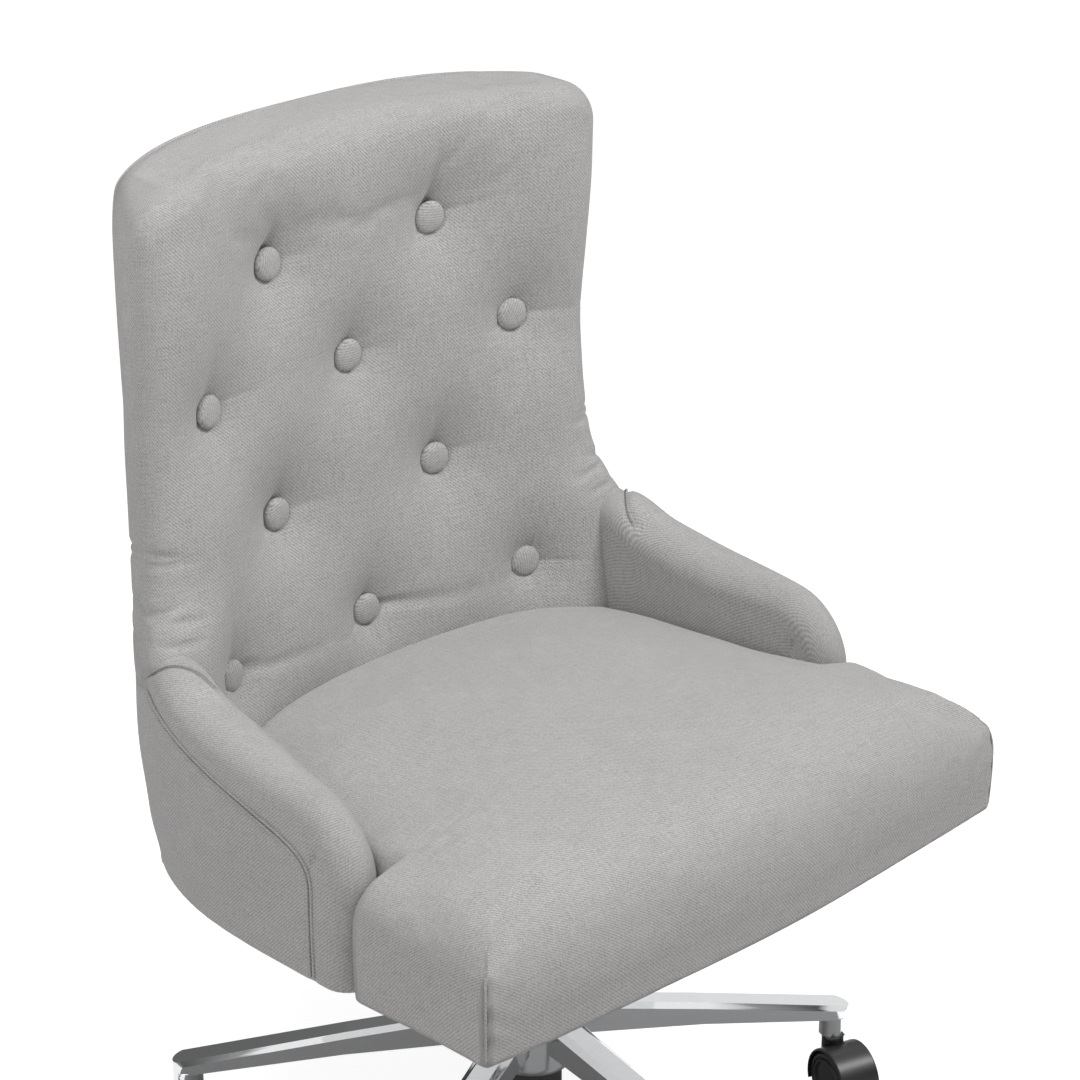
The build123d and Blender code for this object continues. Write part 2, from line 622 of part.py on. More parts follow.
def arm_panel():
    """Plywood panel inside the right-hand arm."""
    outline = [(-80, BOARD_BOTTOM_Z), (-80, 430), (-55, 462), (60, 480), (112, 488), (112, BOARD_BOTTOM_Z)]
    side = Plane.YZ * make_face(Polyline(*outline, close=True))
    return Pos(ARM_PANEL_X, 0, 0) * extrude(side, ARM_PANEL_T)


def frame_bolt_list():
    """Bolts that tie the arm panels and the back frame to the edge of the seat board."""
    bolts = []
    head_x = ARM_PANEL_X + ARM_PANEL_T
    for y in (-40.0, 90.0):
        bolt = rod_x(FRAME_BOLT_R, 195, head_x + 1, y, FRAME_BOLT_Z)
        bolt += rod_x(2 * FRAME_BOLT_R, head_x, head_x + 4, y, FRAME_BOLT_Z)
        bolts += [bolt, mirror(bolt, Plane.YZ)]
    for x in (-BACK_BOLT_X, BACK_BOLT_X):
        bolt = rod_y(FRAME_BOLT_R, 165, BACK_BOLT_HEAD_Y + 1, x, FRAME_BOLT_Z)
        head = rod_y(2 * FRAME_BOLT_R, BACK_BOLT_HEAD_Y, BACK_BOLT_HEAD_Y + 4, x, FRAME_BOLT_Z)
        bolts.append(bolt + head)
    return bolts


def back_frame(gap=0.0):
    """Bent plywood panel that carries the padding; a gap makes the pocket it lies in."""
    far = PAD_T + FRAME_T + gap
    layer = curved_layer(PAD_T - gap, far, FRAME_HALF_WIDTH + gap, BOARD_BOTTOM_Z, 868.0 + gap)
    return layer & back_outline(36.0 - gap, BOARD_BOTTOM_Z - 1)


def board_zone():
    """Space that the seat board takes under the back."""
    return block(-231, 231, 100, 228, SEAT_BOTTOM_Z - 2, BOARD_TOP_Z + FIT_GAP)


def button_places():
    """Five staggered rows: columns at two half-widths, then one on the centre line."""
    places = []
    for row in range(2):
        low_z = BUTTON_LOW_Z + 2 * BUTTON_PITCH_Z * row
        places += [(x, low_z) for x in (-BUTTON_OUTER_X, 0.0, BUTTON_OUTER_X)]
        places += [(x, low_z + BUTTON_PITCH_Z) for x in (-BUTTON_INNER_X, BUTTON_INNER_X)]
    return places


def on_back(x, z, shape):
    """Put a shape made on Z onto the back's front face, pointing forward."""
    turn = atan2(x, (BACK_CURVE_R**2 - x**2) ** 0.5)
    y = back_front_y(z) - BACK_CURVE_R * (1 - cos(turn))
    return Pos(x, y, z) * Rot(0, 0, -degrees(turn)) * Rot(90, 0, 0) * shape


def button():
    disc = rod_z(BUTTON_R, -BUTTON_T / 2, BUTTON_T / 2)
    disc = fillet(disc.edges().group_by(Axis.Z)[-1], 4.0)
    return fillet(disc.edges().group_by(Axis.Z)[0], 2.0)


def back_pad():
    """Tufted front padding, with a hollow at each button."""
    pad = curved_layer(-PAD_BULGE, PAD_T - FIT_GAP, 300.0, BOARD_BOTTOM_Z, 925.0)
    pad = pad & back_outline() & shell_body()
    hollow = rod_z(BUTTON_R + 3, -BUTTON_T / 2, 40)
    pad -= [on_back(x, z, hollow) for x, z in button_places()]
    return pad - board_zone() - frame_bolt_list()


def back_shell():
    """Covered outer shell round the rear of the back and the ends of the arms."""
    shell = curved_layer(PAD_T, 130.0, 300.0, BOARD_BOTTOM_Z, 925.0) & back_outline() & shell_body()
    return shell - back_frame(FIT_GAP) - board_zone() - frame_bolt_list()


def arm(shell):
    """Right-hand padded arm, fitted round its panel."""
    behind = curved_layer(-PAD_BULGE - FIT_GAP, 200.0, 320.0, SEAT_BOTTOM_Z - 5, 925.0)
    padded = (arm_blank() & shell) - behind - arm_panel()
    return padded - frame_bolt_list()


def save_base():
    save("star_base", star_base())
    save("stem_sleeves", stem_sleeves())
    save("lift_column", lift_column())
    save("column_bush", column_bush())
    save("thrust_bearing", thrust_bearing())
    save("piston_rod", piston_rod())
    save("rod_clip", rod_clip())


def save_mechanism():
    save("pressure_tube", pressure_tube())
    save("release_pin", release_pin())
    save("mechanism_housing", mechanism_housing())
    save("pivot_shaft", pivot_shaft())
    save("shaft_clips", shaft_clips())
    save("lever_pin", lever_pin())
    save("lever_rod", lever_rod())
    save("lever_paddle", lever_paddle())
    save("tension_spring", tension_spring())
    save("spring_cup", spring_cup())
    save("tension_knob", tension_knob())
    save("tension_bolt", tension_bolt())
    save("seat_plate", seat_plate())
    save("plate_bolts", plate_bolts())


def save_seat():
    right_arm = arm(shell_body())
    right_panel = arm_panel() - frame_bolt_list()
    save("t_nuts", t_nuts())
    save("seat_board", seat_board())
    save("dust_cover", dust_cover())
    save("seat_cushion", seat_cushion())
    save("arm_right", mirror(right_arm, Plane.YZ))
    save("arm_left", right_arm)
    save("arm_panels", solids_of(right_panel, mirror(right_panel, Plane.YZ)))
    save("frame_bolts", solids_of(*frame_bolt_list()))
    save("back_frame", back_frame() - frame_bolt_list())
    save("back_pad", back_pad())
    save("back_shell", back_shell())
    save("back_buttons", solids_of(*[on_back(x, z, button()) for x, z in button_places()]))


def main():
    os.makedirs("parts", exist_ok=True)
    save_casters()
    save_base()
    save_mechanism()
    save_seat()


main()
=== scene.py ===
import json
from math import cos, pi, radians, sin

import bpy
import numpy as np
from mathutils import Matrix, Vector, kdtree


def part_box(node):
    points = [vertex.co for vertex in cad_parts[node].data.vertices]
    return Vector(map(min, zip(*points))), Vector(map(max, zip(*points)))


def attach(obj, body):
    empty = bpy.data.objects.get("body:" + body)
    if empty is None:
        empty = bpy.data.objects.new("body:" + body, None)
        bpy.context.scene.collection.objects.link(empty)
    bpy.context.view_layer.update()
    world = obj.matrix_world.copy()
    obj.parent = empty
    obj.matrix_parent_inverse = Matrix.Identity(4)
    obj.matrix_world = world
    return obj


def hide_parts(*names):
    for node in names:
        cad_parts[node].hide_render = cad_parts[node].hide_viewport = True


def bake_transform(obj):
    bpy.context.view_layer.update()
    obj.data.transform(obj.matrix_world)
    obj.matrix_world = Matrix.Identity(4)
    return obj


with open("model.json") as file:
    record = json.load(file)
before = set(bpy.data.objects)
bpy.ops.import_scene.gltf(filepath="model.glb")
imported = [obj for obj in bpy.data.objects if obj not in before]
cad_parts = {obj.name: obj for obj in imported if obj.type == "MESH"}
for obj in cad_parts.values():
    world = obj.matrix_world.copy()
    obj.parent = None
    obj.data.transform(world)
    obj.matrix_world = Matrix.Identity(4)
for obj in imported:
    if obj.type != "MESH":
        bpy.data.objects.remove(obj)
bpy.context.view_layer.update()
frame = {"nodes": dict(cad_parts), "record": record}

# Places read from the frame, in metres
HALF_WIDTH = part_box("seat_cushion")[1].x
FOOT_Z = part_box("dust_cover")[0].z
TOP_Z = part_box("back_pad")[1].z
REAR_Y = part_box("back_shell")[1].y

# Outer barrel and arms
SHELL_CENTRE_Y = -0.010
SHELL_DEPTH = REAR_Y - SHELL_CENTRE_Y
ARM_FRONT_Y = -0.0985
ARM_REAR_Y = 0.190
ARM_NOSE_RADIUS = 0.055
ARM_EDGE_RADIUS = 0.0225
ARM_JOIN_RADIUS = 0.012
SHELL_EDGE_RADIUS = 0.026
FOOT_RADIUS = 0.004

# Back: its front curves forward by BACK_CURVE times the square of the distance from the centre line
BACK_CURVE = 0.77
BACK_CORNER_RADIUS = 0.036
BACK_STUFFING = 0.024
EDGE_ROLL = 0.025
TOP_MARGIN = 0.005
TOP_CURVE = 0.20
PAD_FRONT_RADIUS = 0.024
PAD_REAR_RADIUS = 0.012
SIDE_WRAP = 0.068
TOP_WRAP = 0.017

# Buttons: rows of three and two, staggered
BUTTON_ROWS = (0.474, 0.584, 0.697, 0.797)
OUTER_COLUMN_X = 0.170
INNER_COLUMN_X = 0.090
BUTTON_STAND = 0.0072
BUTTON_SIDES = 56
BUTTON_GATHERS = 19
TUFT_LIMIT = 0.029

# Seat
SEAT_FRONT_Y = -0.2445
SEAT_BULGE = 0.016
SEAT_CROWN_Z = 0.463
SEAT_REAR_Y = 0.168
WING_REAR_Y = -0.1015

# Cords, by radius
WELT_RADIUS = 0.0012
WELT_SPACING = 0.0042
ARM_SEAM_RADIUS = 0.0009
CORNER_SEAM_RADIUS = 0.0010
PIPING_RADIUS = 0.0019

# Spring under the seat
SPRING_WIRE = 0.0021
SPRING_COILS = 4
SPRING_POINTS = 360
SPRING_SPLIT = 0.32

# Mesh spacing and cloth
GRID = 0.003
CLOTH_GRID = 0.008
CLOTH_PRESSURE = 4.0
CLOTH_FRAMES = 20
CLOTH_CAP = 0.005
SEAT_REGION = (-0.31, -0.28, 0.32), (0.31, 0.20, 0.49)
PAD_REGION = (-0.31, 0.05, 0.32), (0.31, 0.30, 0.93)
COVER_REGION = (-0.31, -0.12, 0.32), (0.31, 0.30, 0.93)

# Colours, linear
FABRIC_DARK = (0.225, 0.219, 0.216)
FABRIC_LIGHT = (0.520, 0.507, 0.501)
WHITE = (1, 1, 1, 1)

# What each of the record's slots looks like: its darkest and lightest colour, and the settings of worn()
FINISHES = {
    "chrome": ((0.74, 0.75, 0.76), (0.82, 0.83, 0.84),
               dict(roughness=0.045, scale=300.0, depth=0.0, metallic=1.0, spread=0.03)),
    "steel": ((0.50, 0.50, 0.51), (0.62, 0.62, 0.63),
              dict(roughness=0.28, scale=900.0, depth=0.00008, metallic=1.0, spread=0.2)),
    "black_metal": ((0.012, 0.012, 0.013), (0.030, 0.030, 0.031),
                    dict(roughness=0.42, scale=700.0, depth=0.0003)),
    "black_plastic": ((0.010, 0.010, 0.011), (0.024, 0.024, 0.025),
                      dict(roughness=0.38, scale=1200.0, depth=0.0002)),
    "caster_plastic": ((0.010, 0.010, 0.010), (0.022, 0.022, 0.022),
                       dict(roughness=0.33, scale=1500.0, depth=0.0001)),
    "dust_cloth": ((0.006, 0.006, 0.006), (0.030, 0.030, 0.030),
                   dict(roughness=0.95, scale=1800.0, depth=0.0005)),
    "wood": ((0.30, 0.19, 0.10), (0.52, 0.37, 0.22),
             dict(roughness=0.7, scale=60.0, depth=0.0003, stretch=(1.0, 12.0, 12.0))),
}

# Camera
CAMERA_AZIMUTH = radians(-45.36)
CAMERA_ELEVATION = radians(22.52)
CAMERA_DISTANCE = 2.7788
CAMERA_AIM_Z = 0.5942
CAMERA_SHIFT = 0.0065
CAMERA_LENS = 116.72

# Studio: lights as place, aim, size and power, and greys by height for what metal reflects
LIGHTS = {
    "key": ((0.9, -1.5, 2.85), (0, 0, 0.5), 1.1, 63),
    "side": ((-2.8, -0.6, 1.9), (0, 0, 0.5), 1.5, 10),
    "fill": ((-1.1, -0.4, 1.7), (0.2, 0.1, 0.5), 0.5, 9.0),
}
REFLECTED_BANDS = ((0.10, 0.06), (0.14, 0.90), (0.23, 0.85), (0.27, 0.10), (0.52, 0.34), (0.60, 1.0))
FLOOR_SIZE = 15.0
FLOOR_GLOW = 0.80
# Painted shade: a grey card on the floor under the chair, seen only in the metal's reflections
PAINTED_SHADE_CARD_SIZE, PAINTED_SHADE_CARD_Z = 0.31, 0.0015
# Painted light: a glowing card just under the seat, seen only in the metal's reflections, where they would
# show the seat's dark underside
PAINTED_LIGHT_CARD_SIZE, PAINTED_LIGHT_CARD_Z, PAINTED_LIGHT_CARD_GLOW = 0.24, 0.283, 0.30


# ------------------------------------------------------------ implicit shapes

def smoothstep(low, high, value):
    t = np.clip((value - low) / (high - low), 0.0, 1.0)
    return t * t * (3.0 - 2.0 * t)


def round_meet(a, b, radius):
    """Intersection of two half spaces with a rounded edge."""
    u = np.maximum(a + radius, 0.0)
    v = np.maximum(b + radius, 0.0)
    return np.minimum(np.maximum(a + radius, b + radius), 0.0) + np.hypot(u, v) - radius


def round_join(a, b, radius):
    """Union of two shapes with a filleted corner."""
    return -round_meet(-a, -b, radius)


def profile(z, heights, values):
    """Smooth curve through a few heights."""
    h = np.asarray(heights, float)
    v = np.asarray(values, float)
    k = np.clip(np.searchsorted(h, z) - 1, 0, len(h) - 2)
    t = np.clip((z - h[k]) / (h[k + 1] - h[k]), 0.0, 1.0)
    slope = np.gradient(v, h)
    width = h[k + 1] - h[k]
    a = v[k] * (2 * t**3 - 3 * t**2 + 1) + v[k + 1] * (3 * t**2 - 2 * t**3)
    return a + width * (slope[k] * (t**3 - 2 * t**2 + t) + slope[k + 1] * (t**3 - t**2))


def surface_net(field, low, high, step):
    """Closed quad mesh of the surface where the field is zero."""
    axes = [np.arange(a - 2 * step, b + 3 * step, step) for a, b in zip(low, high)]
    x, y, z = np.meshgrid(*axes, indexing="ij")
    inside = field(x, y, z) < 0.0
    total = np.zeros([n - 1 for n in inside.shape], int)
    for i in (0, 1):
        for j in (0, 1):
            for k in (0, 1):
                nx, ny, nz = inside.shape
                total += inside[i:nx - 1 + i, j:ny - 1 + j, k:nz - 1 + k]
    active = (total > 0) & (total < 8)
    index = np.full(active.shape, -1)
    index[active] = np.arange(active.sum())
    i, j, k = np.nonzero(active)
    points = np.stack([axes[0][i], axes[1][j], axes[2][k]], 1) + step / 2
    faces = []
    for axis in range(3):
        here = np.swapaxes(inside, 0, axis)
        cells = np.swapaxes(index, 0, axis)
        change = here[1:, 1:-1, 1:-1] != here[:-1, 1:-1, 1:-1]
        a, b, c = np.nonzero(change)
        quad = np.stack([cells[a, b, c], cells[a, b + 1, c], cells[a, b + 1, c + 1], cells[a, b, c + 1]], 1)
        leaving = here[a, b + 1, c + 1]
        if axis > 0:
            leaving = ~leaving
        quad[~leaving] = quad[~leaving][:, ::-1]
        faces.append(quad)
    return points, np.concatenate(faces)


def gradient(field, p, h=0.0004):
    steps = np.eye(3) * h
    parts = [field(*(p + s).T) - field(*(p - s).T) for s in steps]
    return np.stack(parts, 1) / (2 * h)


def settle(field, p, rounds=5, limit=0.006):
    """Moves points onto the zero surface of a field."""
    for _ in range(rounds):
        g = gradient(field, p)
        size = np.maximum((g**2).sum(1), 0.05)
        move = -g * (field(*p.T) / size)[:, None]
        length = np.linalg.norm(move, axis=1)
        move *= np.minimum(1.0, limit / np.maximum(length, 1e-9))[:, None]
        p = p + move
    return p


def relax(p, faces, amount=0.5):
    """One round of averaging with the neighbours."""
    total = np.zeros_like(p)
    count = np.zeros(len(p))
    for a, b in ((0, 1), (1, 2), (2, 3), (3, 0)):
        for i, j in ((a, b), (b, a)):
            np.add.at(total, faces[:, i], p[faces[:, j]])
            np.add.at(count, faces[:, i], 1)
    return p + amount * (total / count[:, None] - p)


def solid_points(field, low, high, step=GRID):
    p, faces = surface_net(field, low, high, step)
    p = settle(field, p)
    for _ in range(4):
        p = settle(field, relax(p, faces), 2)
    return p, faces


def unit(vectors):
    return vectors / np.maximum(np.linalg.norm(vectors, axis=1), 1e-9)[:, None]


def mesh_object(name, points, faces, weave=None):
    mesh = bpy.data.meshes.new(name)
    if isinstance(faces, np.ndarray):
        faces = faces.tolist()
    mesh.from_pydata(np.asarray(points, float).tolist(), [], faces)
    mesh.update()
    mesh.polygons.foreach_set("use_smooth", [True] * len(mesh.polygons))
    if weave is not None:
        attribute = mesh.attributes.new("weave", "FLOAT_VECTOR", "POINT")
        attribute.data.foreach_set("vector", np.asarray(weave, float).ravel())
    piece = bpy.data.objects.new(name, mesh)
    bpy.context.scene.collection.objects.link(piece)
    return piece


# ------------------------------------------------------------ upholstery shapes

def middle_depth(z):
    """Depth of the back's front face on the centre line, where the buttons pull it in."""
    heights = (0.34, 0.475, 0.585, 0.698, 0.80, 0.92)
    return profile(z, heights, (0.193, 0.2040, 0.2182, 0.2200, 0.2200, 0.2175))


def edge_depth(z):
    """Depth of the roll along the back's sides."""
    heights = (0.36, 0.50, 0.532, 0.564, 0.62, 0.84, 0.92)
    return profile(z, heights, (0.150, 0.164, 0.172, 0.184, 0.192, 0.185, 0.183))


def back_half_width(z):
    """Half-width of the back: wide at the arms, narrow above them."""
    heights = (0.36, 0.47, 0.505, 0.532, 0.564, 0.60, 0.66, 0.86, 0.92)
    return profile(z, heights, (0.2928, 0.2925, 0.283, 0.2640, 0.2520, 0.248, 0.2475, 0.250, 0.250))


def back_top(x):
    """Height of the back's slightly arched top."""
    return TOP_Z - TOP_MARGIN - TOP_CURVE * x**2


def barrel(x, y, z):
    """Outer barrel that wraps the arms and the back."""
    power = 2.5 + 0.5 * smoothstep(FOOT_Z, 0.52, z)
    u = np.abs(x) / HALF_WIDTH
    v = np.maximum(y - SHELL_CENTRE_Y, 0.0) / SHELL_DEPTH
    return ((u**power + v**power) ** (1.0 / power) - 1.0) * HALF_WIDTH


def outer_side(x, y, z):
    """The barrel pushed out a little by the stuffing, low on the arms and low behind."""
    arms = 0.0035 * smoothstep(0.47, 0.345, z) * smoothstep(0.06, -0.08, y)
    behind = 0.0048 * smoothstep(0.51, 0.42, z) * smoothstep(0.335, 0.385, z) * smoothstep(0.09, 0.17, y)
    return barrel(x, y, z) - arms - behind


def button_places():
    three = (-OUTER_COLUMN_X, 0.0, OUTER_COLUMN_X)
    two = (-INNER_COLUMN_X, INNER_COLUMN_X)
    return [(x, z) for z, row in zip(BUTTON_ROWS, (three, two, three, two)) for x in row]


def tufting(x, z):
    """How far the buttons pull the front padding in."""
    total = np.zeros(np.shape(x))
    for bx, bz in button_places():
        near = np.hypot(x - bx, z - bz)
        total += 0.018 * np.exp(-near / 0.015) + 0.012 * np.exp(-((near / 0.050) ** 2))
    return np.minimum(total, TUFT_LIMIT)


def pad_front(x, z):
    """Front face of the back: the stuffed middle, the roll along the sides, and the tufting."""
    side = np.minimum(np.abs(x), 0.30)
    middle = middle_depth(z) - BACK_CURVE * side**2 - BACK_STUFFING
    edge = edge_depth(z) - EDGE_ROLL
    share = smoothstep(0.15, 0.232, side)
    return middle + share * (edge - middle) + tufting(x, z)


def pad_wrap(x, z):
    """How far back the front padding reaches: round the sides, and right over the top."""
    return SIDE_WRAP + TOP_WRAP * smoothstep(0.035, 0.010, back_top(x) - z)


def back_pad_field(x, y, z):
    """Front padding, which laps round the sides and over the top of the back."""
    outline = round_meet(np.abs(x) - back_half_width(z), z - back_top(x), BACK_CORNER_RADIUS)
    outline = np.maximum(outline, FOOT_Z + 0.002 - z)
    inside = 0.004 * smoothstep(0.500, 0.488, z)
    rear = np.maximum(barrel(x, y, z) + inside, y - (pad_front(x, z) + pad_wrap(x, z)))
    body = round_meet(outline, pad_front(x, z) - y, PAD_FRONT_RADIUS)
    return round_meet(body, rear, PAD_REAR_RADIUS)


def shell_field(x, y, z):
    """Rear half of the cover, a little inside the padding where they meet."""
    half_width = back_half_width(z) - 0.0015 + 0.05 * smoothstep(0.53, 0.47, z)
    outline = round_meet(np.abs(x) - half_width, z - back_top(x) + 0.003, BACK_CORNER_RADIUS)
    front = pad_front(x, z) + 0.050 - y
    body = round_meet(outline, outer_side(x, y, z), SHELL_EDGE_RADIUS)
    return round_meet(np.maximum(body, front), FOOT_Z - 0.001 - z, FOOT_RADIUS)


def crest_z(y):
    """Height of an arm's top along its length."""
    places = (-0.10, -0.04, 0.063, 0.10, 0.142, 0.155, 0.19)
    return profile(y, places, (0.476, 0.4860, 0.4990, 0.508, 0.5260, 0.525, 0.495))


def arm_inner_x(y):
    """Inner face of an arm, which thickens towards the back."""
    places = (-0.10, -0.05, -0.01, 0.036, 0.12, 0.16)
    return profile(y, places, (0.2515, 0.250, 0.2455, 0.236, 0.228, 0.226))


def arm_field(x, y, z):
    """Both arms, with a round nose and a rolled top."""
    side = np.abs(x)
    outline = round_meet(ARM_FRONT_Y - y, z - crest_z(y), ARM_NOSE_RADIUS)
    across = np.maximum(outer_side(x, y, z), arm_inner_x(y) - side)
    body = round_meet(outline, across, ARM_EDGE_RADIUS)
    return round_meet(np.maximum(body, y - ARM_REAR_Y), FOOT_Z - 0.001 - z, FOOT_RADIUS)


def cover_field(x, y, z):
    """Arms and outer shell as one sewn cover, sunk a little where the padding laps over it."""
    joined_up = round_join(arm_field(x, y, z), shell_field(x, y, z), ARM_JOIN_RADIUS)
    under_pad = smoothstep(0.498, 0.510, z) * smoothstep(0.160, 0.170, y)
    under_pad *= smoothstep(-0.002, 0.004, pad_front(x, z) + pad_wrap(x, z) - 0.006 - y)
    return np.maximum(joined_up, outer_side(x, y, z) + 0.003 * under_pad)


def seat_top(x, y):
    """Height of the seat's top: a crown that falls away to the edges and between the arms."""
    crown = SEAT_CROWN_Z - 0.011 * (x / 0.25) ** 2 - 0.010 * ((y + 0.02) / 0.20) ** 2
    between_arms = smoothstep(-0.14, -0.02, y)
    crown -= 0.016 * between_arms * smoothstep(0.10, 0.25, np.abs(x)) ** 1.5
    crown -= 0.012 * smoothstep(0.20, 0.29, np.abs(x)) * smoothstep(-0.21, -0.12, y)
    return crown - 0.006 * smoothstep(0.05, 0.17, y)


def seat_field(x, y, z):
    """T-shaped cushion: wings before the arms and a neck between them."""
    side = np.abs(x)
    top = z - seat_top(x, y)
    hollow = 0.002 * np.sin(np.clip((z - FOOT_Z) / 0.085, 0.0, 1.0) * pi)
    front_y = SEAT_FRONT_Y - SEAT_BULGE * (1.0 - np.minimum(side / HALF_WIDTH, 1.0) ** 2)
    outline = round_meet(side - HALF_WIDTH - 0.001, front_y - y, 0.004) - hollow
    wings = round_meet(outline, top, 0.042 - 0.016 * smoothstep(-0.20, -0.11, y))
    wings = round_meet(wings, y - WING_REAR_Y, 0.009)
    neck = np.maximum(side - arm_inner_x(y) + 0.0005, front_y + 0.02 - y)
    neck = round_meet(neck, top, 0.020)
    neck = round_meet(neck, y - (SEAT_REAR_Y - BACK_CURVE * side**2), 0.014)
    return round_meet(np.minimum(wings, neck), FOOT_Z - z, FOOT_RADIUS)


# ------------------------------------------------------------ folds and creases

def crease_line(a, b, start, angle, length, depth, width):
    """Depth of a straight crease that starts deep and fades out."""
    along = (a - start[0]) * cos(angle) + (b - start[1]) * sin(angle)
    across = -(a - start[0]) * sin(angle) + (b - start[1]) * cos(angle)
    share = np.clip(along / length, 0.0, 1.0)
    fade = np.where(along > 0, (1.0 - share) ** 1.3 * smoothstep(0.0, 0.25, share + 0.12), 0.0)
    return depth * fade * np.exp(-((across / (width * (1.0 + 0.8 * share))) ** 2))


def button_creases(x, z):
    """Folds that run out from each button: a pleat above, thin creases beside and below."""
    total = np.zeros(np.shape(x))
    for i, place in enumerate(button_places()):
        sway = 7.0 * sin(5.0 * i + 1.0)
        reach = 1.0 + 0.25 * sin(3.0 * i)
        top_row = 1.0 if place[1] > 0.78 else 0.45
        total += crease_line(x, z, place, radians(88 + sway), 0.078 * reach, 0.0052 * top_row, 0.0048)
        total += crease_line(x, z, place, radians(4 + sway), 0.075 * reach, 0.0018, 0.0024)
        total += crease_line(x, z, place, radians(-80 + sway), 0.070 * reach, 0.0016, 0.0026)
        total += crease_line(x, z, place, radians(212 + sway), 0.045 * reach, 0.0014, 0.0024)
        total += crease_line(x, z, place, radians(150 - sway), 0.035 * reach, 0.0010, 0.0030)
    for start in (-OUTER_COLUMN_X, 0.0):
        total += crease_line(x, z, (start, BUTTON_ROWS[0]), radians(-4), 0.165, 0.0036, 0.0045)
    return total


def side_wrinkles(x, z):
    """Short wrinkles where the padding narrows above the arms."""
    total = np.zeros(np.shape(x))
    for i, height in enumerate((0.532, 0.548, 0.556, 0.592, 0.600)):
        middle = 0.238 + 0.010 * sin(4.0 * i)
        slope = 0.25 * sin(2.0 * i + 0.5)
        line = z - height - slope * (np.abs(x) - middle)
        reach = np.exp(-(((np.abs(x) - middle) / 0.017) ** 2))
        total += 0.0026 * reach * np.exp(-((line / 0.0028) ** 2))
    return total


def cloth_swell(a, b, c, size, height):
    """Slow, uneven fullness of stuffing under cloth."""
    waves = np.sin(a / size + 1.3 * np.sin(b / size * 0.7)) * np.sin(b / size * 1.1 + 0.8 * np.sin(c / size))
    return height * waves


def on_left(p):
    """The same points, all on the sitter's left half."""
    return np.stack([np.abs(p[:, 0]), p[:, 1], p[:, 2]], 1)


def groove(p, path, depth, width):
    """Depth of the hollow along a sewn line."""
    near = np.full(len(p), 1.0)
    for place in path:
        near = np.minimum(near, ((p - place) ** 2).sum(1))
    return depth * np.exp(-near / width**2)


def pad_relief(p, normal):
    """Folds at the buttons, wrinkles at the sides, and the hollow where the arms are sewn on."""
    facing = smoothstep(0.1, 0.6, -normal[:, 1])
    x, z = p[:, 0], p[:, 2]
    above_seat = smoothstep(0.42, 0.45, z)
    relief = -button_creases(x, z) * facing * above_seat - side_wrinkles(x, z)
    relief -= groove(on_left(p), arm_seam_path(), 0.0025, 0.004)
    return relief + cloth_swell(x, z, p[:, 1], 0.031, 0.0007)


def cover_relief(p, normal):
    """Gathers above the bend of each arm's welt, hollows along the seams, and a slow swell."""
    outward = smoothstep(0.2, 0.7, np.abs(normal[:, 0])) * (p[:, 1] < 0.0)
    gathers = np.zeros(len(p))
    for i in range(5):
        angle = radians(150 - 24 * i)
        start = (-0.0590 - 0.004 * cos(angle), 0.4305 + 0.002 * i)
        reach = 0.024 + 0.005 * sin(3.0 * i)
        gathers += crease_line(p[:, 1], p[:, 2], start, angle, reach, 0.0024, 0.0022)
    hollow = groove(on_left(p), welt_path(WELT_SPACING / 2), 0.0013, 0.0042)
    hollow += groove(on_left(p), arm_seam_path(), 0.0032, 0.0045)
    return cloth_swell(p[:, 1], p[:, 2], p[:, 0], 0.037, 0.0007) - gathers * outward - hollow


def seat_relief(p, normal):
    """Puckers beside the two corner seams."""
    side, y, z = np.abs(p[:, 0]), p[:, 1], p[:, 2]
    from_corner = np.hypot(side - HALF_WIDTH, y - SEAT_FRONT_Y)
    ripple = np.sin((z - 0.34) / 0.0036 + 3.0 * from_corner / 0.02)
    upright = smoothstep(0.8, 0.3, np.abs(normal[:, 2]))
    puckers = 0.0007 * ripple * np.exp(-((from_corner / 0.016) ** 2)) * upright
    seam = 0.0016 * np.exp(-((from_corner / 0.003) ** 2)) * upright
    return puckers - seam + cloth_swell(p[:, 0], y, z, 0.045, 0.0008)


# ------------------------------------------------------------ cloth coordinates, in metres of cloth

def seat_weave(p, normal):
    """Flat over the top, then straight down the sides."""
    drop = np.maximum(seat_top(p[:, 0], p[:, 1]) - p[:, 2], 0.0)
    return np.stack([p[:, 0] + normal[:, 0] * drop, p[:, 1] + normal[:, 1] * drop, 0 * drop], 1)


def pad_weave(p, normal):
    """Flat over the front, then straight back along the sides and over the top."""
    x, z = p[:, 0], p[:, 2]
    depth = np.maximum(p[:, 1] - pad_front(x, z), 0.0)
    turned_in = np.maximum(back_half_width(z) - np.abs(x), 0.0) * smoothstep(0.010, 0.030, depth)
    out_x, out_z = normal[:, (0, 2)].T / np.maximum(np.hypot(normal[:, 0], normal[:, 2]), 0.5)
    return np.stack([x + out_x * (depth + 2.0 * turned_in), z + out_z * depth, 0 * depth], 1)


